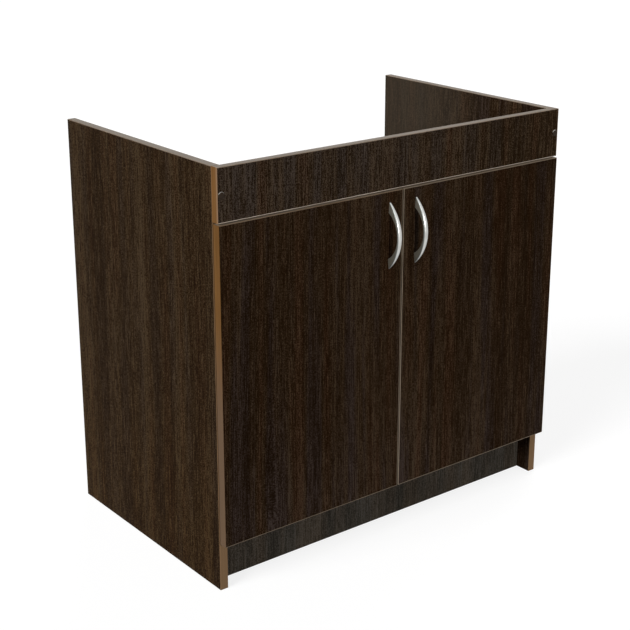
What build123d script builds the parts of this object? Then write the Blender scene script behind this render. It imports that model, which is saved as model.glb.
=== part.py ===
from build123d import *
import math
import os

# Two-door sink base cabinet. Millimetres, +Z up. The doors face -Y and the open back faces +Y.
# The pieces are drawn with y = 0 at the side panels' front edges. They are written with the
# origin on the floor, midway between the side panels, at the foot of the kick plate's front face.

# carcass
width = 800.0
height = 775.0
side_depth = 480.0
board = 16.0  # every panel
band = 1.0  # edge banding
plinth_height = 90.0
kick_recess = 34.0
rear_rail_height = 100.0
middle_rail_bottom = 480.0

# front
apron_height = 94.0
reveal = 3.0  # gap round the doors as seen from the front
door_gap = 2.0  # between a door's back and the side panel's front edge
door_bottom = 92.0
bumper_r = 4.0
bumper_inset = 22.0  # from the door's free edge

# fittings between boards
dowel_r = 4.0
dowel_length = 30.0
dowel_in_side = 10.0
cam_r = 7.5
cam_height = 12.5
cam_reach = 34.0  # from the board's end to the centre of the cam disc
cam_slot = 1.2
bolt_r = 3.0
bolt_in_side = 11.0
bolt_in_cam = 3.0
fit_gap = 0.1  # round what sits in a drilled hole
fitting_inset = 50.0  # from a board's edge to its first cam
fitting_pitch = 32.0  # from a cam to the dowel next to it

# apron screws and their caps
apron_screw_r = 2.5
apron_screw_head_r = 4.5
apron_screw_head = 3.0
apron_screw_length = 50.0
cap_r = 6.0
cap_thickness = 1.2
cap_stem_r = 1.8
cap_stem = 1.6

# bow handles
handle_inset = 31.5  # from the middle of the cabinet
handle_drop = 82.0  # from the door's top edge to the middle of the handle
handle_length = 124.0
handle_rise = 30.0
handle_inside_length = 86.0
handle_inside_rise = 26.0
handle_width = 10.0
handle_taper_length = 150.0  # where the two curved sides would meet
handle_tip = 1.0
handle_edge = 0.8
screw_pitch = 96.0
handle_screw_r = 2.0
handle_screw_head_r = 4.0
handle_screw_head = 2.4
handle_screw_grip = 8.0

# concealed hinges
hinge_inset = 98.0  # from the door's end to the middle of the cup
cup_r = 17.5
cup_wall = 0.8
cup_depth = 11.5
cup_edge = 4.0  # from the door's edge to the cup
cup_flange = 1.0
flange_start = 10.0  # from the door's edge
flange_end = 38.0
flange_half = 27.0
cup_screw_pitch = 45.0
cup_screw_offset = 9.5
cup_screw_r = 1.75
cup_screw_head_r = 3.3
cup_screw_length = 12.0
screw_head = 1.6
pin_r = 1.3
pin_fit = 0.05
eye_r = 2.7
link_side = 1.2
link_half = 7.6  # half of the outer link's overall width
link_waist = 1.6  # half of a link's width between its eyes
inner_half = 3.6
inner_pin_half = 5.4
arm_half = 9.4
arm_wall = 1.4
arm_front = -0.6
arm_end = 62.0
arm_head_height = 25.8  # above the side panel
arm_head_length = 9.0
arm_slope_end = 24.0
arm_foot = 2.0
arm_head_foot = 4.6
plate_line = 37.0  # screw line, from the side panel's front edge
plate_height = 9.0
plate_half = 6.4
plate_start = 27.0
plate_end = 58.0
wing_thickness = 1.8
wing_half = 24.0
wing_width = 12.0
wing_screw_pitch = 32.0
wing_screw_r = 2.4
wing_screw_head_r = 3.8
wing_screw_length = 12.5
arm_screw_r = 2.2
arm_screw_head_r = 3.2
arm_screw_line = 50.0

# places that follow from the sizes
outer_x = width / 2
inner_x = outer_x - board
apron_bottom = height - apron_height
door_top = apron_bottom - reveal
door_width = outer_x - reveal / 2
door_back = -door_gap
door_front = door_back - board
bottom_top = plinth_height + board
handle_z = door_top - handle_drop
hinge_heights = (door_bottom + hinge_inset, door_top - hinge_inset)

# Hinge pivots as (u, v): u runs inward from the door's hinged edge, v runs towards the back.
cup_centre = cup_edge + cup_r
arm_pivot = (board + 9.0, 4.0)
cup_pivot = (cup_edge + 5.5, door_back - 5.5)
inner_arm_pivot = (board + 21.0, 3.0)
inner_cup_pivot = (cup_edge + 10.9, door_back - 2.4)
# The outer link bends round the cup's rim, which swings past it when the door is open.
outer_link_bends = [(board + 6.4, door_back - 5.0), (cup_edge + 14.1, door_back - 8.8),
                    (cup_edge + 9.2, door_back - 8.6)]

os.makedirs("parts", exist_ok=True)


def block(x0, x1, y0, y1, z0, z1):
    """A box between two corners."""
    corner = (Align.MIN, Align.MIN, Align.MIN)
    return Pos(x0, y0, z0) * Box(x1 - x0, y1 - y0, z1 - z0, align=corner)


def rod(start, direction, radius, length):
    """A cylinder from a point, along a direction."""
    seat = (Align.CENTER, Align.CENTER, Align.MIN)
    return Plane(origin=start, z_dir=direction) * Cylinder(radius, length, align=seat)


def mirrored(solids):
    """The same pieces on the other side of the cabinet."""
    return [mirror(piece, about=Plane.YZ) for piece in solids]


def both_sides(solids):
    return solids + mirrored(solids)


def cut(body, tools):
    for tool in tools:
        body = body - tool
    return body


def write(name, pieces):
    set_down = Pos(0, -kick_recess, 0)
    solids = [set_down * solid for piece in pieces for solid in piece.solids()]
    export_step(Compound(children=solids), os.path.join("parts", name + ".step"))


# ---- joints between boards ----------------------------------------------------------------

class Fitting:
    """A cam joint in a board's left end: where it is, and the way its disc faces."""

    def __init__(self, y, z, disc_start, disc_direction):
        self.y = y
        self.z = z
        self.disc_start = disc_start
        self.disc_direction = disc_direction

    def disc_seat(self):
        x = -inner_x + cam_reach
        if self.disc_direction[2]:
            return (x, self.y, self.disc_start)
        return (x, self.disc_start, self.z)

    def disc(self):
        """Turning disc with a crossed slot in its face and a mouth for the bolt."""
        body = rod(self.disc_seat(), self.disc_direction, cam_r - fit_gap, cam_height - fit_gap)
        seat = self.disc_seat()
        plane = Plane(origin=seat, x_dir=(1, 0, 0), z_dir=self.disc_direction)
        for turn in (45, 135):
            body -= plane * Rot(0, 0, turn) * Box(cam_r, cam_slot, 2 * cam_slot)
        return body - self.bolt(fit_gap)

    def pocket(self):
        return rod(self.disc_seat(), self.disc_direction, cam_r, cam_height)

    def bolt(self, gap=0.0):
        start = -inner_x - bolt_in_side - gap
        end = -inner_x + cam_reach - cam_r + bolt_in_cam + gap
        return rod((start, self.y, self.z), (1, 0, 0), bolt_r + gap, end - start)


class Dowel:
    """A wooden dowel across a joint at the left side panel."""

    def __init__(self, y, z):
        self.y = y
        self.z = z

    def solid(self, gap=0.0):
        start = -inner_x - dowel_in_side - gap
        return rod((start, self.y, self.z), (1, 0, 0), dowel_r + gap, dowel_length + 2 * gap)


bottom_z = plinth_height + board / 2
kick_y = kick_recess + board / 2
rail_front = side_depth - board
rail_y = side_depth - board / 2
rail_bottoms = (bottom_top, middle_rail_bottom)

bottom_cams = [Fitting(y, bottom_z, plinth_height, (0, 0, 1))
               for y in (kick_recess + board + fitting_inset, rail_front - fitting_inset)]
bottom_dowels = [Dowel(bottom_cams[0].y + fitting_pitch, bottom_z),
                 Dowel(bottom_cams[1].y - fitting_pitch, bottom_z)]
kick_cams = [Fitting(kick_y, plinth_height / 2 - fitting_pitch / 2, kick_recess + board, (0, -1, 0))]
kick_dowels = [Dowel(kick_y, plinth_height / 2 + fitting_pitch / 2)]
rail_cams = [Fitting(rail_y, z + rear_rail_height / 2 - fitting_pitch / 2, rail_front, (0, 1, 0))
             for z in rail_bottoms]
rail_dowels = [Dowel(rail_y, z + rear_rail_height / 2 + fitting_pitch / 2) for z in rail_bottoms]
all_cams = bottom_cams + kick_cams + rail_cams
all_dowels = bottom_dowels + kick_dowels + rail_dowels


def end_holes(cams, dowels):
    """What the joints at the left end take out of a board."""
    tools = [cam.pocket() for cam in cams]
    tools += [cam.bolt(fit_gap) for cam in cams]
    tools += [dowel.solid(fit_gap) for dowel in dowels]
    return tools


def cross_board(y0, y1, z0, z1, cams, dowels):
    """A board between the two side panels, drilled at both ends."""
    body = block(-inner_x, inner_x, y0, y1, z0, z1)
    return cut(body, both_sides(end_holes(cams, dowels)))


# ---- apron screws -------------------------------------------------------------------------

apron_screw_x = -outer_x + board / 2
apron_screw_z = apron_bottom + apron_height / 2


def apron_screw(gap=0.0):
    """Flat-headed screw through the apron into the side panel's front edge."""
    start = (apron_screw_x, -board, apron_screw_z)
    head = rod(start, (0, 1, 0), apron_screw_head_r + gap, apron_screw_head + gap)
    shank = rod(start, (0, 1, 0), apron_screw_r + gap, apron_screw_length + gap)
    return head + shank


def apron_cap(gap=0.0):
    """Cover cap: a low disc on the apron with a stem in the screw's socket."""
    start = (apron_screw_x, -board, apron_screw_z)
    disc = rod(start, (0, -1, 0), cap_r, cap_thickness)
    disc = fillet(disc.edges().sort_by(Axis.Y)[0], cap_thickness / 2)
    stem = rod(start, (0, 1, 0), cap_stem_r + gap, cap_stem + gap)
    return disc + stem


# ---- hinges -------------------------------------------------------------------------------

def at_hinge(u, v, z=0.0):
    return (-outer_x + u, v, z)


def cross_pin(pivot, half, radius):
    """A pin across the hinge, along Z."""
    return rod(at_hinge(pivot[0], pivot[1], -half), (0, 0, 1), radius, 2 * half)


def hinge_profile(points):
    """A closed outline in the hinge's plane, from (u, v) points."""
    corners = [(-outer_x + u, v) for u, v in points]
    return make_face(Polyline(*corners, close=True))


def layer(face, z0, z1):
    return Pos(0, 0, z0) * extrude(face, z1 - z0, dir=(0, 0, 1))


def link_bar(start, end, z0, z1):
    """One straight stretch of a link, square at both ends."""
    dx, dy = end[0] - start[0], end[1] - start[1]
    long = math.hypot(dx, dy)
    side = (-dy / long * link_waist, dx / long * link_waist)
    corners = [(start[0] + side[0], start[1] + side[1]), (end[0] + side[0], end[1] + side[1]),
               (end[0] - side[0], end[1] - side[1]), (start[0] - side[0], start[1] - side[1])]
    return layer(hinge_profile(corners), z0, z1)


def link_plate(points, z0, z1):
    """A flat link along its points, round at every bend, with an eye at each end."""
    plate = link_bar(points[0], points[1], z0, z1)
    for start, end in zip(points[1:], points[2:]):
        plate += link_bar(start, end, z0, z1)
    for bend in points[1:-1]:
        plate += rod(at_hinge(bend[0], bend[1], z0), (0, 0, 1), link_waist, z1 - z0)
    for pivot in (points[0], points[-1]):
        plate += rod(at_hinge(pivot[0], pivot[1], z0), (0, 0, 1), eye_r, z1 - z0)
    for pivot in (points[0], points[-1]):
        plate -= cross_pin(pivot, link_half + 1, pin_r + pin_fit)
    return plate


def outer_link():
    """Two bent side plates on the outer pair of pivots."""
    points = [arm_pivot] + outer_link_bends + [cup_pivot]
    inside = link_half - link_side
    return [link_plate(points, z0, z0 + link_side) for z0 in (-link_half, inside)]


def inner_link():
    """One thick plate between the outer link's two."""
    return [link_plate([inner_arm_pivot, inner_cup_pivot], -inner_half, inner_half)]


def cup_centre_point(v):
    return at_hinge(cup_centre, v)


def cup_bore(gap=0.0):
    return rod(cup_centre_point(door_back), (0, -1, 0), cup_r + gap, cup_depth + gap)


def cup_screw_points():
    u = cup_centre + cup_screw_offset
    return [at_hinge(u, door_back + cup_flange, z)
            for z in (-cup_screw_pitch / 2, cup_screw_pitch / 2)]


def cup_screws(gap=0.0):
    screws = []
    for point in cup_screw_points():
        head = rod(point, (0, -1, 0), cup_screw_head_r + gap, cup_flange)
        shank = rod(point, (0, -1, 0), cup_screw_r + gap, cup_screw_length + gap)
        screws.append(head + shank)
    return screws


def cup_pin():
    offset = cup_centre - cup_pivot[0] + pin_r
    half = math.sqrt(cup_r ** 2 - offset ** 2) - fit_gap
    return cross_pin(cup_pivot, half, pin_r)


def hinge_cup():
    """Pressed cup with a screwed flange that stops short of the side panel."""
    shell = cup_bore()
    flange = block(-outer_x + flange_start, -outer_x + flange_end, door_back,
                   door_back + cup_flange, -flange_half, flange_half)
    flange = fillet(flange.edges().filter_by(Axis.Y), 3 * cup_flange)
    mouth = rod(cup_centre_point(door_back + cup_flange), (0, -1, 0),
                cup_r - cup_wall, cup_flange + cup_depth - cup_wall)
    body = shell + flange - mouth
    body = cut(body, cup_screws(fit_gap))
    return body - cross_pin(cup_pivot, cup_r, pin_r + pin_fit)


def arm_outline(inset):
    """Side view of the hinge arm, its web lowered by the inset."""
    low, head_low = board + arm_foot, board + arm_head_foot
    high = board + plate_height + arm_wall - inset
    head_high = board + arm_head_height - inset
    return [(head_low, arm_front), (head_high, arm_front), (head_high, arm_head_length),
            (high, arm_slope_end), (high, arm_end), (low, arm_end), (low, arm_slope_end),
            (head_low, arm_head_length)]


def hinge_arm():
    """Channel-shaped arm: two sides and a web, open towards the side panel."""
    body = layer(hinge_profile(arm_outline(0.0)), -arm_half, arm_half)
    inside = [(u, v) for u, v in arm_outline(arm_wall)]
    reach = 2 * arm_wall
    inside[0] = (inside[0][0] - reach, inside[0][1] - reach)
    inside[1] = (inside[1][0], inside[1][1] - reach)
    inside[4] = (inside[4][0], inside[4][1] + reach)
    inside[5] = (inside[5][0] - reach, inside[5][1] + reach)
    inside[6] = (inside[6][0] - reach, inside[6][1])
    inside[7] = (inside[7][0] - reach, inside[7][1])
    hollow = arm_half - arm_wall
    body -= layer(hinge_profile(inside), -hollow, hollow)
    for pivot in (arm_pivot, inner_arm_pivot):
        body -= cross_pin(pivot, arm_half + 1, pin_r + pin_fit)
    return body - arm_screw(fit_gap)


def arm_pins():
    return [cross_pin(pivot, arm_half, pin_r) for pivot in (arm_pivot, inner_arm_pivot)]


def arm_screw(gap=0.0):
    """Clamping screw through the arm's web into the mounting plate."""
    top = board + plate_height + arm_wall
    head = rod(at_hinge(top, arm_screw_line), (1, 0, 0), arm_screw_head_r, screw_head)
    shank = rod(at_hinge(top, arm_screw_line), (-1, 0, 0), arm_screw_r + gap,
                arm_wall + plate_height - wing_thickness + gap)
    return head + shank


def wing_points():
    return [at_hinge(board + wing_thickness, plate_line, z)
            for z in (-wing_screw_pitch / 2, wing_screw_pitch / 2)]


def wing_screws(gap=0.0):
    screws = []
    for point in wing_points():
        head = rod(point, (1, 0, 0), wing_screw_head_r, screw_head)
        shank = rod(point, (-1, 0, 0), wing_screw_r + gap, wing_thickness + wing_screw_length + gap)
        screws.append(head + shank)
    return screws


def mounting_plate():
    """Winged plate on the side panel's inner face, which the arm straddles."""
    left = -outer_x + board
    wings = block(left, left + wing_thickness, plate_line - wing_width / 2,
                  plate_line + wing_width / 2, -wing_half, wing_half)
    wings = fillet(wings.edges().filter_by(Axis.X), wing_width / 3)
    spine = block(left, left + plate_height, plate_start, plate_end, -plate_half, plate_half)
    body = cut(wings + spine, wing_screws(fit_gap))
    return body - arm_screw(fit_gap)


def at_heights(solids):
    """The same pieces at the lower and the upper hinge."""
    return [Pos(0, 0, z) * piece for z in hinge_heights for piece in solids]


# ---- doors --------------------------------------------------------------------------------

handle_x = -handle_inset


def handle_screws(gap=0.0):
    screws = []
    for z in (handle_z - screw_pitch / 2, handle_z + screw_pitch / 2):
        seat = (handle_x, door_back, z)
        head = rod(seat, (0, 1, 0), handle_screw_head_r, handle_screw_head)
        shank = rod(seat, (0, -1, 0), handle_screw_r + gap, board + handle_screw_grip + gap)
        screws.append(head + shank)
    return screws


def bow_arc(half_length, rise, foot):
    """An arc in the (y, z) plane, from foot to foot, standing out from the door."""
    return [(door_front - foot, -half_length), (door_front - rise, 0.0),
            (door_front - foot, half_length)]


def bow_handle():
    """Crescent bow, widest at the middle, running to narrow tips on the door."""
    outer = bow_arc(handle_length / 2, handle_rise, handle_tip)
    inside = bow_arc(handle_inside_length / 2, handle_inside_rise, 0.0)
    side_view = Plane.YZ
    outline = ThreePointArc(*outer) + Line(outer[2], (door_front, outer[2][1]))
    outline += Line((door_front, outer[2][1]), inside[2])
    outline += ThreePointArc(*inside[::-1])
    outline += Line(inside[0], (door_front, outer[0][1]))
    outline += Line((door_front, outer[0][1]), outer[0])
    profile = side_view * make_face(outline)
    half = handle_width / 2
    crescent = extrude(profile, half, both=True)
    ends = handle_taper_length / 2
    plan = ThreePointArc((0, -ends), (half, 0), (0, ends))
    plan += ThreePointArc((0, ends), (-half, 0), (0, -ends))
    front_view = Plane(origin=(0, 0, 0), x_dir=(1, 0, 0), z_dir=(0, -1, 0)) * make_face(plan)
    lens = extrude(front_view, -door_front + 2 * handle_rise)
    bow = crescent & lens
    bow = soften(bow)
    bow = Pos(handle_x, 0, handle_z) * bow
    return cut(bow, handle_screws(fit_gap))


def soften(bow):
    """Round the long edges of the bow, those that leave the door."""
    long_edges = [edge for edge in bow.edges() if edge.length > handle_inside_length / 2]
    return fillet(long_edges, handle_edge)


def door_board():
    """Left door's board, inside its edge bands."""
    body = block(-outer_x + band, -outer_x + door_width - band, door_front, door_back,
                 door_bottom + band, door_top - band)
    body = cut(body, at_heights([cup_bore(fit_gap)] + cup_screws(fit_gap)))
    return cut(body, handle_screws(fit_gap))


def frame_bands(x0, x1, y0, y1, z0, z1):
    """Edge bands round an upright board: full-height ones at the sides, the others between."""
    return [block(x0, x0 + band, y0, y1, z0, z1),
            block(x1 - band, x1, y0, y1, z0, z1),
            block(x0 + band, x1 - band, y0, y1, z0, z0 + band),
            block(x0 + band, x1 - band, y0, y1, z1 - band, z1)]


def door_bands():
    return frame_bands(-outer_x, -outer_x + door_width, door_front, door_back, door_bottom, door_top)


def door_bumper():
    """Soft pad that meets the bottom panel's front edge."""
    seat = (-outer_x + door_width - bumper_inset, door_back, bottom_z)
    return rod(seat, (0, 1, 0), bumper_r, door_gap - fit_gap)


# ---- carcass ------------------------------------------------------------------------------

def side_panel():
    """Left side panel, inside its front and top bands, with every hole drilled."""
    body = block(-outer_x, -inner_x, band, side_depth, 0.0, height - band)
    tools = [cam.bolt(fit_gap) for cam in all_cams]
    tools += [dowel.solid(fit_gap) for dowel in all_dowels]
    tools.append(apron_screw(fit_gap))
    tools += at_heights(wing_screws(fit_gap))
    return cut(body, tools)


def side_bands():
    front = block(-outer_x, -inner_x, 0.0, band, 0.0, height)
    top = block(-outer_x, -inner_x, band, side_depth, height - band, height)
    return [front - apron_screw(fit_gap), top]


def apron_board():
    body = block(-outer_x + band, outer_x - band, -board, 0.0, apron_bottom + band, height - band)
    return cut(body, both_sides([apron_screw(fit_gap)]))


write("side_panel_left", [side_panel()])
write("side_panel_right", mirrored([side_panel()]))
write("side_bands", both_sides(side_bands()))
write("bottom_panel", [cross_board(band, side_depth, plinth_height, bottom_top,
                                   bottom_cams, bottom_dowels)])
write("bottom_band", [block(-inner_x, inner_x, 0.0, band, plinth_height, bottom_top)])
write("kick_plate", [cross_board(kick_recess, kick_recess + board, 0.0, plinth_height,
                                 kick_cams, kick_dowels)])
write("rear_rail_low", [cross_board(rail_front, side_depth, rail_bottoms[0],
                                    rail_bottoms[0] + rear_rail_height,
                                    rail_cams[:1], rail_dowels[:1])])
write("rear_rail_middle", [cross_board(rail_front, side_depth, rail_bottoms[1],
                                       rail_bottoms[1] + rear_rail_height,
                                       rail_cams[1:], rail_dowels[1:])])
write("apron", [apron_board()])
write("apron_bands", frame_bands(-outer_x, outer_x, -board, 0.0, apron_bottom, height))
write("apron_screws", both_sides([apron_screw() - apron_cap(fit_gap)]))
write("apron_caps", both_sides([apron_cap()]))
write("cam_discs", both_sides([cam.disc() for cam in all_cams]))
write("cam_bolts", both_sides([cam.bolt() for cam in all_cams]))
write("dowels", both_sides([dowel.solid() for dowel in all_dowels]))

write("mounting_plates", both_sides(at_heights([mounting_plate()])))
write("plate_screws", both_sides(at_heights(wing_screws())))
write("hinge_arms", both_sides(at_heights([hinge_arm()])))
write("arm_screws", both_sides(at_heights([arm_screw()])))
write("arm_pins", both_sides(at_heights(arm_pins())))

door_pieces = {
    "door": [door_board()],
    "door_bands": door_bands(),
    "handle": [bow_handle()],
    "handle_screws": handle_screws(),
    "door_bumper": [door_bumper()],
    "hinge_cups": at_heights([hinge_cup()]),
    "cup_screws": at_heights(cup_screws()),
    "cup_pins": at_heights([cup_pin()]),
    "outer_links": at_heights(outer_link()),
    "inner_links": at_heights(inner_link()),
    "inner_link_pins": at_heights([cross_pin(inner_cup_pivot, inner_pin_half, pin_r)]),
}
for name, pieces in door_pieces.items():
    write(name + "_left", pieces)
    write(name + "_right", mirrored(pieces))
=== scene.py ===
import math

import bmesh
import bpy
from mathutils import Matrix, Vector


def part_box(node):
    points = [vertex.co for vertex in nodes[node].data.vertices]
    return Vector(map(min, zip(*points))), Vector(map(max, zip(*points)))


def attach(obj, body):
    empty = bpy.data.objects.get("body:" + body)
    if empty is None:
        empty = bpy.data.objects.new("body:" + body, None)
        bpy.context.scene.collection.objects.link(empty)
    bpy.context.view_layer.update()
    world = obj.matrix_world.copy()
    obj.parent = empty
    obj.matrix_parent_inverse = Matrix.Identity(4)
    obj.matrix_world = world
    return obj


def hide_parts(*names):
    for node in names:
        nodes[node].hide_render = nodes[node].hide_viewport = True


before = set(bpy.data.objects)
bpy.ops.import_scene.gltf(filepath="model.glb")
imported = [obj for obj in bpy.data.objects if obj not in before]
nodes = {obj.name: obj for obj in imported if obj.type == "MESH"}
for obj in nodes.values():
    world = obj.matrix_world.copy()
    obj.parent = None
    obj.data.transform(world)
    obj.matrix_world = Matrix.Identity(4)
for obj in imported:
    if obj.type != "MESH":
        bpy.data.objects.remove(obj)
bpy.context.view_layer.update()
mm = 0.001
sides = {"left": -1, "right": 1}
print("frame loaded with", len(nodes), "nodes")


class Socket:  # one output of a node, so that sums on it can be written as Python
    def __init__(self, tree, node, output=0):
        self.tree = tree
        self.node = node
        self.socket = node.outputs[output] if len(node.outputs) else None

    def out(self, output):
        return Socket(self.tree, self.node, output)

    def __add__(self, other):
        return self.tree.math("ADD", self, other)

    def __radd__(self, other):
        return self.tree.math("ADD", other, self)

    def __sub__(self, other):
        return self.tree.math("SUBTRACT", self, other)

    def __rsub__(self, other):
        return self.tree.math("SUBTRACT", other, self)

    def __mul__(self, other):
        return self.tree.math("MULTIPLY", self, other)

    def __rmul__(self, other):
        return self.tree.math("MULTIPLY", other, self)

    def __truediv__(self, other):
        return self.tree.math("DIVIDE", self, other)

    def __rtruediv__(self, other):
        return self.tree.math("DIVIDE", other, self)

    def __pow__(self, other):
        return self.tree.math("POWER", self, other)

    def __abs__(self):
        return self.tree.math("ABSOLUTE", self)


class Tree:  # builds a shader tree or a Geometry Nodes tree
    def __init__(self, nodeTree):
        self.nodeTree = nodeTree

    def add(self, kind, settings=None, inputs=None, output=0):
        node = self.nodeTree.nodes.new(kind)
        for name, value in (settings or {}).items():
            if name == "stops":  # a ramp's positions and colours
                ramp = node.color_ramp
                while len(ramp.elements) < len(value):
                    ramp.elements.new(0.5)
                for stop, (place, colour) in zip(ramp.elements, value):
                    stop.position = place
                    stop.color = (*colour, 1)
            else:
                setattr(node, name, value)
        for name, value in (inputs or {}).items():
            singles = value if isinstance(value, list) else [value]  # a list is several links
            for single in singles:
                if isinstance(single, Socket):
                    self.nodeTree.links.new(single.socket, node.inputs[name])
                else:
                    node.inputs[name].default_value = single
        return Socket(self, node, output)

    def math(self, operation, *values):
        return self.add("ShaderNodeMath", {"operation": operation}, dict(enumerate(values)))

    def clamp(self, value, low=0.0, high=1.0):
        return self.math("MINIMUM", self.math("MAXIMUM", value, low), high)

    def smooth(self, value, start, end):  # from 0 at start to 1 at end, whichever is higher
        settings = {"interpolation_type": "SMOOTHSTEP"}
        inputs = {"Value": value, "From Min": start, "From Max": end}
        return self.add("ShaderNodeMapRange", settings, inputs)

    def vector(self, operation, *values):
        return self.add("ShaderNodeVectorMath", {"operation": operation}, dict(enumerate(values)))

    def split(self, vector):  # its three coordinates
        whole = self.add("ShaderNodeSeparateXYZ", None, {"Vector": vector})
        return whole, whole.out("Y"), whole.out("Z")

    def part(self, vector, axis):  # one of its coordinates
        return self.split(vector)["XYZ".index(axis)]

    def join(self, x=0.0, y=0.0, z=0.0):
        return self.add("ShaderNodeCombineXYZ", None, {"X": x, "Y": y, "Z": z})

    def mix(self, factor, first, second, blend="MIX"):
        settings = {"data_type": "RGBA", "blend_type": blend}
        first, second = ((*c, 1) if isinstance(c, tuple) else c for c in (first, second))
        return self.add("ShaderNodeMix", settings, {0: factor, 6: first, 7: second}, 2)

    def noise(self, place, scale, detail=2.0, roughness=0.5):  # scale is waves per metre, by axis
        inputs = {"Vector": self.vector("MULTIPLY", place, scale), "Scale": 1.0,
                  "Detail": detail, "Roughness": roughness}
        return self.add("ShaderNodeTexNoise", None, inputs)

    def place(self, move=(0, 0, 0), turn=(0, 0, 0)):  # Object coordinates, moved and turned
        inputs = {"Vector": self.add("ShaderNodeTexCoord", output="Object"),
                  "Location": move, "Rotation": turn}
        return self.add("ShaderNodeMapping", {"vector_type": "POINT"}, inputs)

    def normal(self):
        return self.add("ShaderNodeTexCoord", output="Normal")

    def bump(self, height, strength, distance):
        inputs = {"Strength": strength, "Distance": distance, "Height": height}
        return self.add("ShaderNodeBump", None, inputs)


def emptyTree(owner):  # the cleared node tree of a material or a world
    owner.use_nodes = True
    owner.node_tree.nodes.clear()
    return Tree(owner.node_tree)


def material(name, look, paint):
    made = bpy.data.materials.new(name)
    tree = emptyTree(made)
    shader = tree.add("ShaderNodeBsdfPrincipled", None, paint(tree, look))
    tree.add("ShaderNodeOutputMaterial", None, {"Surface": shader})
    made.diffuse_color = (*look["colour"], 1)
    return made


squareOn = 0.7  # a face counts as looking along an axis from this share of its normal on

# Dark wood-grain boards. The grain runs along Z before the turn, and a skin covers the faces.
grainTurns = {"z": (0, 0, 0), "x": (0, math.radians(90), 0), "y": (math.radians(90), 0, 0)}
grainNoises = {  # waves per metre across, into and along the grain, then detail and roughness
    "streak": ((62.0, 45.0, 0.9), 3.0, 0.62), "fine": ((520.0, 350.0, 5.0), 2.0, 0.6),
    "pores": ((640.0, 440.0, 24.0), 1.0, 0.5), "hairs": ((1500.0, 1050.0, 70.0), 1.0, 0.5),
    "specks": ((650.0, 450.0, 420.0), 1.0, 0.5)}
board = {
    "colour": (0.024, 0.0128, 0.0056),  # in the viewport
    "dark": (0.0085, 0.0034, 0.0008), "mid": (0.0210, 0.0112, 0.0050),
    "light": (0.051, 0.0328, 0.0190), "stops": (0.05, 0.48, 1.0),
    "tints": (30.0, 22.0, 1.2),  # waves per metre of the plum and rust bands
    "plum": (0.64, 0.76, 1.42), "plumRange": (0.49, 0.64), "banding": 0.5,
    "rust": (1.45, 1.10, 1.00), "rustRange": (0.50, 0.66), "rusting": 0.4,
    "axis": "z", "face": "y", "move": (0, 0, 0),  # way of the grain, axis across the board, shift
    "wander": (2.2, 2.2, 0.9), "reach": 0.045, "slant": 0.25,  # how far the lines stray sideways
    "eye": None,  # across, up, half width, half height and push of an eye in the grain
    "bands": 11.0, "bandLength": 0.6, "wide": 1.0,  # waves per metre, and width of the fine lines
    "broad": 0.80, "streak": 0.85, "fine": 1.35, "pores": 1.9, "hairs": 1.2, "specks": 2.6,
    "lift": 0.0, "contrast": 1.0,
    "fade": None,  # axis, start, end, change of tone and tint along a stretch of the board; on the doors this is painted bounce light from the floor
    "pale": None,  # colour, share, start and end in depth of painted sheen, which greys the inner face towards the back
    "raw": None,  # the axis along which the skinned faces look, where the others are bare
    "gloss": 0.006, "roughness": 0.42, "roughLines": 0.3,
    "relief": {"fine": 0.3, "pores": 0.7, "hairs": 1.0}, "bump": (0.35, 0.12 * mm)}
rawBoard = {
    "dark": (0.15, 0.085, 0.04), "light": (0.62, 0.47, 0.31), "chips": 420.0, "dust": 1400.0,
    "dustColour": 0.25, "dustHeight": 0.4,  # the shares of dust, and of chips the rest
    "roughness": 0.85, "relief": 6}


def roundEye(across, along, eye):  # the lines of the grain part and pass round an eye
    centre, height, wide, tall, push = eye
    away = (across - centre) / wide
    up = (along - height) / tall
    return across - away * (wide * push) / (away * away + up * up + 1.0)


def grain(tree, look):  # a place in the grain, and a noise for each width of its lines
    turned = tree.place(look["move"], grainTurns[look["axis"]])
    across, depth, along = tree.split(turned)
    if look["face"] == "x":
        across, depth = depth, across
    across = across + (tree.noise(turned, look["wander"], 1.0) - 0.5) * look["reach"]
    level = depth + across * look["slant"]
    if look["eye"]:
        across = roundEye(across, along, look["eye"])
    line = tree.join(across, level, along)
    finer = tree.vector("DIVIDE", line, (look["wide"], look["wide"], 1.0))
    bandScale = (look["bands"], look["bands"], look["bandLength"])
    noises = {"broad": tree.noise(line, bandScale, 2.0, 0.55) - 0.5}
    for name, (scale, detail, roughness) in grainNoises.items():
        place = line if name == "streak" else finer
        noises[name] = tree.noise(place, scale, detail, roughness) - 0.5
    return line, noises


def weightedSum(noises, weights):
    total, *others = [noises[name] * weight for name, weight in weights.items()]
    for layer in others:
        total = total + layer
    return total


def particles(tree, look):  # pressed chips of an uncovered board edge
    place = tree.place()
    chips = tree.add("ShaderNodeTexVoronoi", None, {"Vector": place, "Scale": look["chips"]})
    shade = tree.add("ShaderNodeSeparateColor", None, {"Color": chips.out("Color")})
    dust = tree.noise(place, (look["dust"],) * 3)
    tone = shade * (1 - look["dustColour"]) + dust * look["dustColour"]
    height = shade * (1 - look["dustHeight"]) + dust * look["dustHeight"]
    return tree.mix(tone, look["dark"], look["light"]), height


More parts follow.
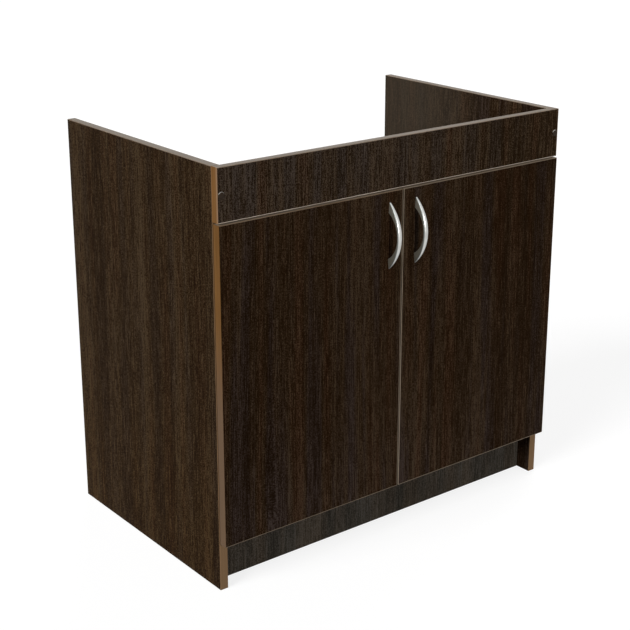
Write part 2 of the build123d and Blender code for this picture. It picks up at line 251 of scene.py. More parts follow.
def paintBoard(tree, look):
    line, noises = grain(tree, look)
    figure = weightedSum(noises, {name: look[name] for name in noises})
    tone = look["stops"][1] + look["lift"] + figure * look["contrast"]
    # Painted light on the doors, lighter and bluer low down; on other boards a shift of tone and
    # tint along one axis
    if look["fade"]:
        way, start, end, amount, tint = look["fade"]
        lightAndToneShare = tree.smooth(tree.part(tree.place(), way), start, end)
        tone = tone + lightAndToneShare * amount
    stops = list(zip(look["stops"], (look["dark"], look["mid"], look["light"])))
    colour = tree.add("ShaderNodeValToRGB", {"stops": stops}, {"Fac": tone})
    hue = tree.noise(line, look["tints"])
    plumShare = tree.smooth(hue, *look["plumRange"]) * look["banding"]
    colour = tree.mix(plumShare, colour, look["plum"], "MULTIPLY")
    rustShare = tree.smooth(1 - hue, *look["rustRange"]) * look["rusting"]
    colour = tree.mix(rustShare, colour, look["rust"], "MULTIPLY")
    if look["fade"]:
        colour = tree.mix(lightAndToneShare, colour, tint, "MULTIPLY")
    # Painted sheen: the inner face is mixed towards a greyer colour towards the back
    if look["pale"]:
        pale, share, start, end = look["pale"]
        inner = tree.math("LESS_THAN", tree.part(tree.normal(), "X"), -squareOn)
        towardsBack = tree.smooth(tree.part(tree.place(), "Y"), start, end)
        colour = tree.mix(inner * towardsBack * share, colour, pale)
    roughness = look["roughness"] + noises["fine"] * look["roughLines"]
    height = weightedSum(noises, look["relief"])
    if look["raw"]:
        skin = tree.math("GREATER_THAN", abs(tree.part(tree.normal(), look["raw"])), squareOn)
        core, coreHeight = particles(tree, rawBoard)
        colour = tree.mix(skin, core, colour)
        roughness = roughness * skin + (1 - skin) * rawBoard["roughness"]
        height = height * skin + coreHeight * rawBoard["relief"] * (1 - skin)
    return {"Base Color": colour, "Roughness": roughness, "Specular IOR Level": look["gloss"],
            "Normal": tree.bump(height, *look["bump"])}


# Thin edge banding, printed with long fine lines along the strip
edging = {
    "colour": (0.135, 0.064, 0.018), "dark": (0.105, 0.047, 0.012),
    "light": (0.165, 0.082, 0.026), "low": (0.118, 0.080, 0.054),
    "lowRange": (0.55, 0.30), "lowShare": 0.75,  # heights between which the low colour comes in
    "lines": (900.0, 900.0, 9.0), "patches": (60.0, 60.0, 5.0), "patchShare": 0.4,
    "printRange": (0.34, 0.68),
    "gloss": 0.04, "roughness": 0.62, "roughLines": 0.12, "bump": (0.25, 0.08 * mm),
    "axis": "z",
    "arris": None}  # start and end in depth, strength and colour of a painted highlight along the front arris
paleEdging = {
    **edging, "colour": (0.207, 0.160, 0.114), "dark": (0.167, 0.127, 0.088),
    "light": (0.252, 0.200, 0.147), "low": (0.275, 0.220, 0.165)}
# The apron's foot band is coloured almost white: a painted highlight along its lower front arris
footHighlightEdging = {
    **edging, "colour": (0.74, 0.65, 0.55), "dark": (0.66, 0.58, 0.49),
    "light": (0.82, 0.73, 0.62), "low": (0.74, 0.65, 0.55), "axis": "x"}
flankEdging = {
    **edging, "colour": (0.155, 0.074, 0.022), "dark": (0.120, 0.054, 0.015),
    "light": (0.190, 0.094, 0.031),
    # a painted highlight along the front arris of the apron's end bands
    "arris": (-0.0450, -0.0492, 0.6, (0.235, 0.142, 0.080))}
legEdging = {
    **edging, "colour": (0.170, 0.100, 0.050), "dark": (0.140, 0.080, 0.038),
    "light": (0.205, 0.125, 0.066), "low": (0.190, 0.115, 0.060)}
# The top bands have real gloss, and a greyer, lighter colour than the front bands that is painted
# sheen from above
topSheenEdging = {
    **edging, "colour": (0.166, 0.137, 0.108), "dark": (0.138, 0.113, 0.087),
    "light": (0.196, 0.163, 0.131), "low": (0.166, 0.137, 0.108),
    "gloss": 0.5, "roughness": 0.72}


def paintEdging(tree, look):
    turned = tree.place((0, 0, 0), grainTurns[look["axis"]])
    lines = tree.noise(turned, look["lines"])
    patches = tree.noise(turned, look["patches"])
    printed = lines * (1 - look["patchShare"]) + patches * look["patchShare"]
    colour = tree.mix(tree.smooth(printed, *look["printRange"]), look["dark"], look["light"])
    _, depth, height = tree.split(tree.place())
    lowDown = tree.smooth(height, *look["lowRange"]) * look["lowShare"]
    colour = tree.mix(lowDown, colour, look["low"])
    # Painted highlight: a patchy lighter colour along the front arris
    if look["arris"]:
        start, end, highlightStrength, pale = look["arris"]
        highlightShare = tree.smooth(depth, start, end) * (highlightStrength + patches * highlightStrength)
        colour = tree.mix(highlightShare, colour, pale)
    return {"Base Color": colour, "Specular IOR Level": look["gloss"],
            "Roughness": look["roughness"] + (lines - 0.5) * look["roughLines"],
            "Normal": tree.bump(lines, *look["bump"])}


# Satin nickel of the bow handles, brushed lengthwise, and the duller metals of the fittings
metal = {"cloud": (45.0, 45.0, 45.0), "dullRange": (0.35, 0.75), "roughLines": 0.14,
         "bump": (0.12, 0.04 * mm)}
nickel = {
    **metal, "colour": (0.56, 0.56, 0.535), "dull": (0.46, 0.46, 0.44), "brush": (2600, 2600, 60),
    "roughness": 0.36, "matt": 0.26, "mattRange": (0.86, 0.999),
    # painted reflection: darker rolled edges, and darker, warmer sideways faces, as the dark door
    # would show in them
    "flank": (0.16, 0.17, 0.165), "flankRange": (-0.05, -0.30), "flankEnd": (0.37, 0.78),
    "side": (0.20, 0.185, 0.148), "sideRange": (0.95, 0.999)}
plating = {**metal, "colour": (0.52, 0.52, 0.51), "dull": (0.38, 0.38, 0.37), "roughness": 0.40,
           "brush": (900, 900, 500)}
zinc = {**metal, "colour": (0.44, 0.44, 0.45), "dull": (0.30, 0.30, 0.31), "roughness": 0.52,
        "brush": (500, 500, 500)}


def paintMetal(tree, look):
    place = tree.place()
    brushed = tree.noise(place, look["brush"])
    cloud = tree.noise(place, look["cloud"], 3.0)
    colour = tree.mix(tree.smooth(cloud, *look["dullRange"]), look["colour"], look["dull"])
    roughness = look["roughness"] + (brushed - 0.5) * look["roughLines"]
    if "flank" in look:  # painted reflection: the rolled edges between the brushed front and the matt sides are coloured darker, and the sideways faces darker and warmer, as the dark door would show in them
        x, y, _ = tree.split(tree.normal())
        sideways = abs(x)
        inFront = 1 - tree.smooth(sideways, *look["flankEnd"])
        colour = tree.mix(tree.smooth(y, *look["flankRange"]) * inFront, look["flank"], colour)
        colour = tree.mix(tree.smooth(sideways, *look["sideRange"]), colour, look["side"])
        roughness = roughness + tree.smooth(sideways, *look["mattRange"]) * look["matt"]
    return {"Base Color": colour, "Metallic": 1.0, "Roughness": roughness,
            "Normal": tree.bump(brushed, *look["bump"])}


# Plastic, rubber and beech, finely speckled
plain = {"speckRange": (0.4, 0.7), "roughSpecks": 0.2, "bump": (0.2, 0.05 * mm)}
capPlastic = {
    **plain, "colour": (0.026, 0.016, 0.009), "speck": (0.031, 0.0195, 0.011), "size": 1500.0,
    "roughness": 0.16, "gloss": 0.08,
    "rim": (-0.0507, (0.42, 0.40, 0.36)), "rimRange": (0.1, 0.5)}  # depth and colour of a painted highlight on its upper rim
padRubber = {**plain, "colour": (0.60, 0.60, 0.57), "speck": (0.50, 0.50, 0.47), "size": 900.0,
             "roughness": 0.55, "gloss": 0.4}
beech = {**plain, "colour": (0.55, 0.38, 0.20), "speck": (0.42, 0.27, 0.13), "size": 700.0,
         "roughness": 0.7, "gloss": 0.3}


def paintPlain(tree, look):
    place = tree.place()
    speck = tree.noise(place, (look["size"],) * 3)
    colour = tree.mix(tree.smooth(speck, *look["speckRange"]), look["colour"], look["speck"])
    if "rim" in look:  # painted highlight: the upper edge of the cap's rim, next to the board, is coloured pale as if lit from above
        depth, pale = look["rim"]
        rim = tree.math("GREATER_THAN", tree.part(place, "Y"), depth)
        upwards = tree.smooth(tree.part(tree.normal(), "Z"), *look["rimRange"])
        colour = tree.mix(rim * upwards, colour, pale)
    return {"Base Color": colour, "Specular IOR Level": look["gloss"],
            "Roughness": look["roughness"] + (speck - 0.5) * look["roughSpecks"],
            "Normal": tree.bump(speck, *look["bump"])}


# The doors carry painted bounce light from the floor: lighter and bluer towards the bottom
doorBoard = {**board, "lift": -0.04, "fade": ("Z", 0.30, 0.10, 0.10, (1.03, 1.06, 1.14))}
boards = {
    "leftDoorWood": {
        **doorBoard, "eye": (-0.292, 0.15, 0.022, 0.13, 0.75), "contrast": 0.85,
        "move": (0, 0.31, 0)},
    "rightDoorWood": {
        **doorBoard, "eye": (0.070, 0.155, 0.016, 0.09, 0.75), "contrast": 0.95,
        "broad": 1.30, "move": (0, 0.77, 0.2)},
    "apronWood": {
        **board, "move": (0.9, 0.13, 0.4), "bands": 14.0,
        "broad": 0.60, "streak": 0.40, "fine": 1.2, "lift": 0.06,
        # the apron darkens towards its right end
        "fade": ("X", -0.15, 0.28, -0.20, (1.0, 0.96, 0.86)),
        "dark": (0.0105, 0.0052, 0.0022), "mid": (0.0262, 0.0160, 0.0086),
        "light": (0.068, 0.047, 0.031), "plum": (0.80, 0.95, 1.35)},
    "leftSideWood": {
        **board, "face": "x", "raw": "X", "move": (0.2, 0.4, 0), "bands": 14.0, "wide": 1.2,
        "broad": 1.20, "streak": 0.45, "fine": 1.2, "banding": 0.25, "lift": 0.01,
        "mid": (0.0225, 0.0117, 0.0044), "light": (0.053, 0.0342, 0.0176),
        # the left side turns slightly lighter and warmer towards the bottom
        "rust": (1.25, 1.06, 1.00), "fade": ("Z", 0.42, 0.10, 0.01, (1.02, 0.97, 0.85))},
    "rightSideWood": {
        **board, "face": "x", "raw": "X", "move": (0.7, 0.9, 0.5), "wide": 1.2, "banding": 0.4,
        # painted sheen greys its inner face towards the back
        "pale": ((0.052, 0.044, 0.033), 0.48, 0.08, 0.36)},
    "kickWood": {
        **board, "raw": "Y", "move": (0.33, 0, 0.7), "dark": (0.022, 0.018, 0.013),
        "mid": (0.040, 0.032, 0.0245), "light": (0.072, 0.060, 0.047),
        "plum": (0.78, 0.90, 1.00), "rust": (1.20, 1.10, 1.00)},
    "shelfWood": {**board, "axis": "x", "raw": "Z", "move": (0, 0, 0.6)},
    "railWood": {**board, "axis": "x", "raw": "Y", "move": (0, 0, 0.3)}}
wood = {name: material(name, look, paintBoard) for name, look in boards.items()}
bands = {
    "goldBand": edging, "paleBand": paleEdging, "paleCrossBand": {**paleEdging, "axis": "x"},
    "apronFlankBand": flankEdging, "apronFootHighlightBand": footHighlightEdging, "legBand": legEdging,
    "apronTopSheenBand": {**topSheenEdging, "axis": "x"}, "sideTopSheenBand": {**topSheenEdging, "axis": "y"}}
band = {name: material(name, look, paintEdging) for name, look in bands.items()}
handleMetal = material("satinNickel", nickel, paintMetal)
steelMetal = material("platedSteel", plating, paintMetal)
camMetal = material("castZinc", zinc, paintMetal)
capMaterial = material("capPlastic", capPlastic, paintPlain)
padMaterial = material("padRubber", padRubber, paintPlain)
dowelMaterial = material("beechDowel", beech, paintPlain)
print("materials made")


def dress(name, finish):  # a CAD node keeps its shape and gets a finish
    slots = nodes[name].data.materials
    if len(slots):
        for index in range(len(slots)):
            slots[index] = finish
    else:
        slots.append(finish)


finishes = {  # every other node is plated steel
    "door_left": wood["leftDoorWood"], "door_right": wood["rightDoorWood"],
    "apron": wood["apronWood"], "kick_plate": wood["kickWood"], "bottom_panel": wood["shelfWood"],
    "side_panel_left": wood["leftSideWood"], "side_panel_right": wood["rightSideWood"],
    "rear_rail_low": wood["railWood"], "rear_rail_middle": wood["railWood"],
    "cam_discs": camMetal, "dowels": dowelMaterial,
    "door_bumper_left": padMaterial, "door_bumper_right": padMaterial}
for nodeName in nodes:
    dress(nodeName, finishes.get(nodeName, steelMetal))


def linked(name, data):  # a new object in the scene
    made = bpy.data.objects.new(name, data)
    bpy.context.scene.collection.objects.link(made)
    return made


def finished(name, mesh, body, slotName, *replaced):
    piece = linked(name, mesh)
    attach(piece, body)
    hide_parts(*replaced)


# Edge bands: thin strips with rounded arrises, and a fine glue line beside the board
strip = {"thick": 1.0 * mm, "round": 0.35 * mm, "glueLine": 0.10 * mm, "steps": 3}


def addStrip(work, low, high, finishIndex, outer):
    low, high = Vector(low), Vector(high)
    made = bmesh.ops.create_cube(work, size=1.0)["verts"]
    for vert in made:
        vert.co = Vector((low[i] + (vert.co[i] + 0.5) * (high[i] - low[i]) for i in range(3)))
    for face in {face for vert in made for face in vert.link_faces}:
        face.material_index = finishIndex
    edges = {edge for vert in made for edge in vert.link_edges}
    rounded = {edge for edge in edges if outer((edge.verts[0].co + edge.verts[1].co) / 2)}
    bevels = ((rounded, strip["round"], strip["steps"]), (edges - rounded, strip["glueLine"], 1))
    for chosen, size, steps in bevels:
        chosen = [edge for edge in chosen if edge.is_valid]
        if chosen:
            bmesh.ops.bevel(work, geom=chosen, offset=size, segments=steps, profile=0.5,
                            affect="EDGES", clamp_overlap=True)


def recalculated(work, mesh):  # the work's faces, all turned outwards, as the mesh
    bmesh.ops.recalc_face_normals(work, faces=work.faces)
    work.to_mesh(mesh)
    work.free()


def stripMesh(name, strips, finishList):  # strips: low and high corner, finish, outer edges
    work = bmesh.new()
    for low, high, finishIndex, outer in strips:
        addStrip(work, low, high, finishIndex, outer)
    mesh = bpy.data.meshes.new(name)
    recalculated(work, mesh)
    for finish in finishList:
        mesh.materials.append(band[finish])
    return mesh


def near(a, b):
    return abs(a - b) < 0.01 * mm


def uprightFrame(nodeName, pieceName, body, finishList):  # bands: left, right, foot, top
    (x0, y0, z0), (x1, y1, z1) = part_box(nodeName)
    thick = strip["thick"]

    def outer(point):
        rim = near(point.x, x0) or near(point.x, x1) or near(point.z, z0) or near(point.z, z1)
        return rim and (near(point.y, y0) or near(point.y, y1))

    strips = [
        ((x0, y0, z0), (x0 + thick, y1, z1), 0, outer),
        ((x1 - thick, y0, z0), (x1, y1, z1), 1, outer),
        ((x0 + thick, y0, z0), (x1 - thick, y1, z0 + thick), 2, outer),
        ((x0 + thick, y0, z1 - thick), (x1 - thick, y1, z1), 3, outer)]
    finished(pieceName, stripMesh(pieceName, strips, finishList), body, "edge_band", nodeName)


def sideStrips():
    (_, y0, z0), (_, y1, z1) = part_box("side_bands")
    thick = strip["thick"]
    strips = []
    for panel in ("side_panel_left", "side_panel_right"):
        (x0, _, _), (x1, _, _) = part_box(panel)

        def outer(point, x0=x0, x1=x1):
            ends = near(point.x, x0) or near(point.x, x1)
            return ends and (near(point.y, y0) or near(point.z, z1))

        strips.append(((x0, y0, z0), (x1, y0 + thick, z1), 0, outer))
        strips.append(((x0, y0 + thick, z1 - thick), (x1, y1, z1), 1, outer))
    mesh = stripMesh("sidePanelBands", strips, ["legBand", "sideTopSheenBand"])
    finished("sidePanelBands", mesh, "carcass", "edge_band", "side_bands")


def bottomStrip():
    low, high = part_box("bottom_band")
    strips = [(low, high, 0, lambda point: near(point.y, low[1]))]
    mesh = stripMesh("bottomPanelBand", strips, ["paleCrossBand"])
    finished("bottomPanelBand", mesh, "carcass", "edge_band", "bottom_band")


# The bands on the left and right edge of each door: gold outside, pale at the split
doorUprights = {"left": ["goldBand", "paleBand"], "right": ["paleBand", "goldBand"]}
for side, uprights in doorUprights.items():
    uprightFrame("door_bands_" + side, side + "DoorBands", side + "_door",
                 [*uprights, "paleCrossBand", "paleCrossBand"])
uprightFrame("apron_bands", "apronBands", "carcass",
             ["apronFlankBand", "apronFlankBand", "apronFootHighlightBand", "apronTopSheenBand"])
sideStrips()
bottomStrip()
print("edge bands made")


def geometryTree(name, sizes):  # a tree with a named input for each size, and those inputs
    group = bpy.data.node_groups.new(name, "GeometryNodeTree")
    group.interface.new_socket("Geometry", in_out="INPUT", socket_type="NodeSocketGeometry")
    for size in sizes:
        kind = "NodeSocketVector" if isinstance(sizes[size], tuple) else "NodeSocketFloat"
        group.interface.new_socket(size, in_out="INPUT", socket_type=kind)
    group.interface.new_socket("Finish", in_out="INPUT", socket_type="NodeSocketMaterial")
    group.interface.new_socket("Geometry", in_out="OUTPUT", socket_type="NodeSocketGeometry")
    tree = Tree(group)
    given = tree.add("NodeGroupInput")
    return tree, given, {name: given.out(name) for name in sizes}


def closeTree(tree, geometry, given):
    real = tree.add("GeometryNodeRealizeInstances", None, {"Geometry": geometry})
    finish = {"Geometry": real, "Material": given.out("Finish")}
    dressed = tree.add("GeometryNodeSetMaterial", None, finish)
    tree.add("NodeGroupOutput", None, {"Geometry": dressed})
    return tree.nodeTree


def grown(group, seed, sizes, finish):  # the tree's result on a seed mesh, as a plain mesh
    holder = linked("seed", seed)
    modifier = holder.modifiers.new("shape", "NODES")
    modifier.node_group = group
    inputs = [item for item in group.interface.items_tree if item.in_out == "INPUT"]
    identifiers = {item.name: item.identifier for item in inputs}
    for size, value in {**sizes, "Finish": finish}.items():
        modifier[identifiers[size]] = value
    graph = bpy.context.evaluated_depsgraph_get()
    mesh = bpy.data.meshes.new_from_object(holder.evaluated_get(graph))
    holder.modifiers.clear()
    bpy.data.objects.remove(holder)
    return mesh


def pointsOf(tree):  # the coordinates of a mesh's points
    return tree.split(tree.add("GeometryNodeInputPosition"))


def moved(tree, geometry, place):
    inputs = {"Geometry": geometry, "Position": place}
    return tree.add("GeometryNodeSetPosition", None, inputs)


# Bow handle: slices between an outer and an inner arc, domed outside, narrowing to its tips
bow = {
    "Middle": (0.0315, -0.052, 0.596), "Half length": 62 * mm, "Rise": 30 * mm, "Tip": 1 * mm,
    "Inner half length": 43 * mm, "Inner rise": 26 * mm, "Half width": 5 * mm,
    "Half taper": 75 * mm, "Dome": 2.9 * mm, "Corner": 0.7 * mm}
bowSlices = {  # how many, points round each, the depth that dome and corner may take, roundness
    "rows": 140, "around": 56, "domeShare": 0.7, "cornerShare": 0.3,
    "widePower": 0.85, "deepPower": 0.9}


def bowTree():
    tree, given, size = geometryTree("bowHandle", bow)
    rows, around = bowSlices["rows"], bowSlices["around"]

    def arc(z, half, rise):  # height of an arc over its chord
        radius = (half * half + rise * rise) / (2 * rise)
        under = tree.math("MAXIMUM", radius * radius - z * z, 0.0)
        return tree.math("SQRT", under) - radius + rise

    grid = tree.add("GeometryNodeMeshGrid", None, {
        "Size X": 2.0 * rows / (rows - 2), "Size Y": 2 * math.pi,
        "Vertices X": rows + 1, "Vertices Y": around + 1})
    x, y, _ = pointsOf(tree)
    z = tree.clamp(x, -1.0, 1.0) * size["Half length"]
    closed = tree.math("LESS_THAN", abs(x), 1.0001)  # 0 on the last rows, which close the tips
    angle = y + math.pi
    sine, cosine = tree.math("SINE", angle), tree.math("COSINE", angle)
    side = tree.math("SIGN", cosine)
    outside = arc(z, size["Half length"], size["Rise"] - size["Tip"]) + size["Tip"]
    inside = tree.math("MAXIMUM", arc(z, size["Inner half length"], size["Inner rise"]), 0.0)
    width = arc(z, size["Half taper"], size["Half width"])
    thick = outside - inside
    dome = tree.math("MINIMUM", size["Dome"], thick * bowSlices["domeShare"])
    corner = tree.math("MINIMUM", size["Corner"], thick * bowSlices["cornerShare"])
    front = tree.math("GREATER_THAN", sine, 0.0)
    wideFront = width * side * abs(cosine) ** bowSlices["widePower"]
    deepFront = outside - dome + dome * abs(sine) ** bowSlices["deepPower"]
    wideBack = side * (width - corner) + corner * cosine
    deepBack = inside + corner + corner * sine
    wide = (wideBack + (wideFront - wideBack) * front) * closed
    deep = (deepBack + (deepFront - deepBack) * front) * closed
    deep = deep + (1 - closed) * size["Tip"] * 0.5
    place = tree.vector("ADD", tree.join(wide, deep * -1, z), size["Middle"])
    shell = {"Geometry": moved(tree, grid, place), "Distance": 0.001 * mm}
    joined = tree.add("GeometryNodeMergeByDistance", None, shell)
    smooth = tree.add("GeometryNodeSetShadeSmooth", None, {"Geometry": joined})
    return closeTree(tree, smooth, given)


def facingOut(mesh):
    work = bmesh.new()
    work.from_mesh(mesh)
    recalculated(work, mesh)


bowGroup = bowTree()
for side, sign in sides.items():
    middle = (sign * bow["Middle"][0], *bow["Middle"][1:])
    seed = bpy.data.meshes.new("bowSeed")
    mesh = grown(bowGroup, seed, {**bow, "Middle": middle}, handleMetal)
    facingOut(mesh)
    finished(side + "BowHandle", mesh, side + "_door", "handle_metal", "handle_" + side)
print("handles made")


shankSides = 20


def onSeats(tree, given, head, radius, length):  # a head with its shank, once on every seat
    shank = tree.add("GeometryNodeMeshCylinder", {"fill_type": "NGON"}, {
        "Vertices": shankSides, "Side Segments": 1, "Radius": radius, "Depth": length})
    down = {"Geometry": shank, "Translation": tree.join(z=length * -0.5)}
    shank = tree.add("GeometryNodeTransform", None, down)
    whole = tree.add("GeometryNodeJoinGeometry", None, {"Geometry": [head, shank]})
    settings = {"data_type": "FLOAT_VECTOR"}
    facing = tree.add("GeometryNodeInputNamedAttribute", settings, {"Name": "facing"})
    turn = tree.add("FunctionNodeAlignRotationToVector", {"axis": "Z"}, {"Vector": facing})
    spread = tree.add("GeometryNodeInstanceOnPoints", None, {
        "Points": given.out("Geometry"), "Instance": whole, "Rotation": turn})
    return closeTree(tree, spread, given)


# Screws with a crossed recess, one tree for pan and flat heads
screwSizes = {
    "Head radius": 4 * mm, "Head height": 2.4 * mm, "Flat": 0.0, "Shank radius": 2 * mm,
    "Shank length": 24 * mm, "Recess": 2.6 * mm, "Recess width": 0.8 * mm,
    "Recess depth": 1.3 * mm}
screwHead = {"around": 32, "rings": 7, "power": 2.4, "fall": 0.62}  # steps, and the dome's curve


def screwTree():
    tree, given, size = geometryTree("crossScrew", screwSizes)
    head = tree.add("GeometryNodeMeshCylinder", {"fill_type": "NGON"}, {
        "Vertices": screwHead["around"], "Side Segments": screwHead["rings"],
        "Radius": 1.0, "Depth": 1.0})
    x, y, z = pointsOf(tree)
    up = z + 0.5
    pan = tree.math("SQRT", 1 - up ** screwHead["power"] * screwHead["fall"])
    taper = size["Shank radius"] / size["Head radius"]
    flat = taper + (1 - taper) * up
    across = (pan + (flat - pan) * size["Flat"]) * size["Head radius"]
    head = moved(tree, head, tree.join(x * across, y * across, up * size["Head height"]))
    slots = []
    for long, wide in (("Recess", "Recess width"), ("Recess width", "Recess")):
        cube = tree.join(size[long] * 2, size[wide] * 2, size["Recess depth"] * 2)
        slots.append(tree.add("GeometryNodeMeshCube", None, {"Size": cube}))
    cross = tree.add("GeometryNodeMeshBoolean", {"operation": "UNION"}, {"Mesh 2": slots})
    top = {"Geometry": cross, "Translation": tree.join(z=size["Head height"])}
    cross = tree.add("GeometryNodeTransform", None, top)
    cut = {"Mesh 1": head, "Mesh 2": cross}
    head = tree.add("GeometryNodeMeshBoolean", {"operation": "DIFFERENCE"}, cut)
    return onSeats(tree, given, head, size["Shank radius"], size["Shank length"])


# Push-in cover caps of the apron's screws: a thin dome with a rounded rim, and a stem
capSizes = {
    "Cap radius": 6.0 * mm, "Thickness": 1.2 * mm, "Stem radius": 1.8 * mm, "Stem": 1.6 * mm}
capDome = {"around": 48, "rings": 12, "crown": 0.25, "rim": 0.55, "rimPower": 12.0}


def capTree():
    tree, given, size = geometryTree("coverCap", capSizes)
    dome = tree.add("GeometryNodeMeshCylinder", {"fill_type": "TRIANGLE_FAN"}, {
        "Vertices": capDome["around"], "Side Segments": 1, "Fill Segments": capDome["rings"],
        "Radius": 1.0, "Depth": 1.0})
    x, y, z = pointsOf(tree)
    middle = tree.math("SQRT", x * x + y * y)
    top = tree.math("GREATER_THAN", z, 0.0)
    fall = capDome["rim"] * middle ** capDome["rimPower"]
    crown = 1 - capDome["crown"] * middle * middle - fall
    place = tree.join(
        x * size["Cap radius"], y * size["Cap radius"], top * crown * size["Thickness"])
    return onSeats(tree, given, moved(tree, dome, place), size["Stem radius"], size["Stem"])


# Every fitting's seats on the right side, which the left side mirrors, and its sizes. The heads
# look inwards, back or forward, and stand at each height plus each offset.
hingeHeights = (0.190, 0.580)
sharpEdge = math.radians(28)  # faces of a fitting that meet more sharply show an edge
plateScrew = {
    "x": 0.3822, "y": 0.003, "heights": hingeHeights, "offsets": (-0.016, 0.016),
    "looks": "inwards", "sizes": {
        **screwSizes, "Head radius": 3.8 * mm, "Head height": 1.6 * mm,
        "Shank radius": 2.4 * mm, "Shank length": 14.3 * mm}}
armScrew = {
    "x": 0.3736, "y": 0.016, "heights": hingeHeights, "offsets": (0,),
    "looks": "inwards", "sizes": {
        **screwSizes, "Head radius": 3.2 * mm, "Head height": 1.6 * mm,
        "Shank radius": 2.2 * mm, "Shank length": 8.6 * mm, "Recess": 2.1 * mm,
        "Recess width": 0.6 * mm, "Recess depth": 1.0 * mm}}
apronScrew = {
    "x": 0.392, "y": -0.047, "heights": (0.728,), "offsets": (0,),
    "looks": "forward", "sizes": {
        **screwSizes, "Head radius": 4.5 * mm, "Head height": 3.0 * mm, "Flat": 1.0,
        "Shank radius": 2.5 * mm, "Shank length": 47 * mm}}
apronCap = {**apronScrew, "y": -0.050, "sizes": capSizes}
cupScrew = {
    "x": 0.369, "y": -0.036, "heights": hingeHeights, "offsets": (-0.0225, 0.0225),
    "looks": "back", "sizes": {
        **screwSizes, "Head radius": 3.3 * mm, "Head height": 1.0 * mm, "Flat": 1.0,
        "Shank radius": 1.75 * mm, "Shank length": 12 * mm, "Recess": 2.0 * mm,
        "Recess width": 0.55 * mm, "Recess depth": 0.6 * mm}}
pullScrew = {
    "x": 0.0315, "y": -0.036, "heights": (0.596,), "offsets": (-0.048, 0.048),
    "looks": "back", "sizes": screwSizes}


def seats(fitting, signs):  # each seat's place and the way its head looks
    found = []
    for sign in signs:
        ways = {"inwards": (-sign, 0, 0), "back": (0, 1, 0), "forward": (0, -1, 0)}
        for height in fitting["heights"]:
            for offset in fitting["offsets"]:
                place = (sign * fitting["x"], fitting["y"], height + offset)
                found.append((place, ways[fitting["looks"]]))
    return found


def fitted(group, pieceName, fitting, signs, finish):
    places, ways = zip(*seats(fitting, signs))
    seed = bpy.data.meshes.new(pieceName + "Seats")
    seed.from_pydata(places, [], [])
    facing = seed.attributes.new("facing", "FLOAT_VECTOR", "POINT")
    for index, way in enumerate(ways):
        facing.data[index].vector = way
    mesh = grown(group, seed, fitting["sizes"], finish)
    mesh.name = pieceName
    mesh.shade_smooth()
    mesh.set_sharp_from_angle(angle=sharpEdge)
    return mesh


def screws(pieceName, body, fitting, signs, *replaced):
    mesh = fitted(screwGroup, pieceName, fitting, signs, steelMetal)
    finished(pieceName, mesh, body, "hardware_steel", *replaced)


screwGroup = screwTree()
bothSides = sides.values()
screws("plateScrews", "carcass", plateScrew, bothSides, "plate_screws")
screws("armScrews", "carcass", armScrew, bothSides, "arm_screws")
screws("apronScrews", "carcass", apronScrew, bothSides, "apron_screws")
capMesh = fitted(capTree(), "apronCoverCaps", apronCap, bothSides, capMaterial)
finished("apronCoverCaps", capMesh, "carcass", "screw_cap", "apron_caps")
for side, sign in sides.items():
    screws(side + "CupScrews", side + "_door", cupScrew, [sign], "cup_screws_" + side)
    screws(side + "PullScrews", side + "_door", pullScrew, [sign], "handle_screws_" + side)
print("screws made")


# Floor, light and camera
floorLook = {"size": 30.0, "level": -0.4 * mm, "colour": (0.25, 0.25, 0.25), "glow": 0.81}


def seenDirectly(tree):  # camera, mirror and glass rays
    rays = tree.add("ShaderNodeLightPath")
    seen = rays.out("Is Camera Ray") + rays.out("Is Glossy Ray") + rays.out("Is Transmission Ray")
    return tree.clamp(seen)


def floorPlane():
    half, level = floorLook["size"] / 2, floorLook["level"]
    corners = [(x * half, y * half, level) for x, y in ((-1, -1), (1, -1), (1, 1), (-1, 1))]
    mesh = bpy.data.meshes.new("floor")
    mesh.from_pydata(corners, [], [(0, 1, 2, 3)])
    floor = linked("floor", mesh)
    paper = bpy.data.materials.new("floorPaper")
    tree = emptyTree(paper)
    diffuse = tree.add("ShaderNodeBsdfDiffuse", None, {"Color": (*floorLook["colour"], 1)})
    strength = seenDirectly(tree) * floorLook["glow"]
    glow = tree.add("ShaderNodeEmission", None, {"Strength": strength})
    surface = tree.add("ShaderNodeAddShader", None, {0: diffuse, 1: glow})
    tree.add("ShaderNodeOutputMaterial", None, {"Surface": surface})
    mesh.materials.append(paper)


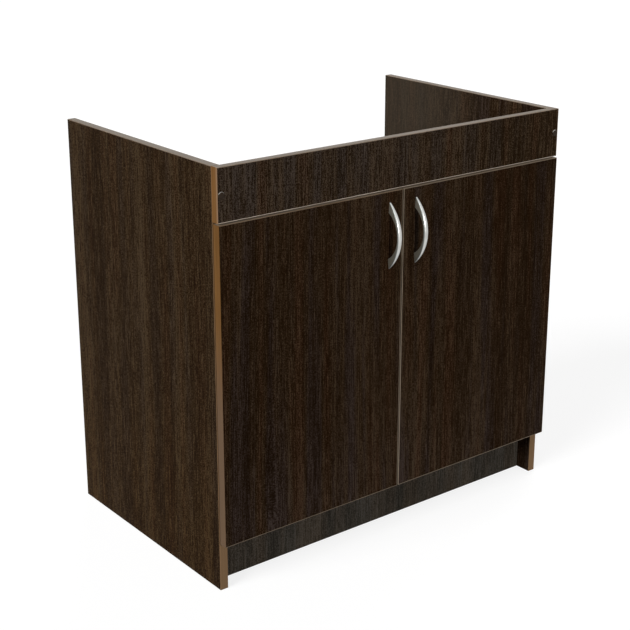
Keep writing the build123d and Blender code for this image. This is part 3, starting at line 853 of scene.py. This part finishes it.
softboxes = {  # where from, what a white surface facing it shows, degrees wide, seen in gloss
    "leftSoftbox": ((-0.85, -0.10, 0.52), 1.06, 35, True),
    "frontSoftbox": ((-0.125, -0.965, 0.24), 0.50, 7, True),
    "rearSoftbox": ((0.72, 0.55, 0.42), 0.55, 45, False)}
roomLevel = 0.10


def softSun(name, towards, level, spread, glare):
    lamp = bpy.data.lights.new(name, "SUN")
    lamp.energy = level * math.pi
    lamp.angle = math.radians(spread)
    made = linked(name, lamp)
    made.matrix_world = Vector(towards).to_track_quat("Z", "Y").to_matrix().to_4x4()
    made.visible_glossy = glare


def softRoom():
    world = bpy.data.worlds.new("room")
    tree = emptyTree(world)
    white = {"Color": (1, 1, 1, 1)}
    dim = tree.add("ShaderNodeBackground", None, {**white, "Strength": roomLevel})
    bright = tree.add("ShaderNodeBackground", None, {**white, "Strength": 1.0})
    surface = tree.add("ShaderNodeMixShader", None, {0: seenDirectly(tree), 1: dim, 2: bright})
    tree.add("ShaderNodeOutputWorld", None, {"Surface": surface})
    bpy.context.scene.world = world


photo = {  # width, focal length and middle row in pixels, then metres, degrees and millimetres
    "width": 630, "focal": 1394.5, "middle": 274, "at": (-1.617, -1.866, 1.298),
    "yaw": 37.97, "pitch": 17.84, "sensor": 36.0, "near": 0.05, "far": 60.0}


def photoCamera():
    camera = bpy.data.cameras.new("photoCamera")
    camera.sensor_width = photo["sensor"]
    camera.lens = photo["focal"] / photo["width"] * photo["sensor"]
    camera.shift_y = (photo["middle"] - photo["width"] / 2) / photo["width"]
    camera.clip_start, camera.clip_end = photo["near"], photo["far"]
    yaw, pitch = math.radians(photo["yaw"]), math.radians(photo["pitch"])
    level = math.cos(pitch)
    ahead = Vector((math.sin(yaw) * level, math.cos(yaw) * level, -math.sin(pitch)))
    turn = ahead.to_track_quat("-Z", "Y").to_matrix().to_4x4()
    made = linked("photoCamera", camera)
    made.matrix_world = Matrix.Translation(photo["at"]) @ turn
    bpy.context.scene.camera = made


floorPlane()
for name, settings in softboxes.items():
    softSun(name, *settings)
softRoom()
photoCamera()
bpy.context.scene.view_settings.view_transform = "Standard"
print("floor, light and camera set")
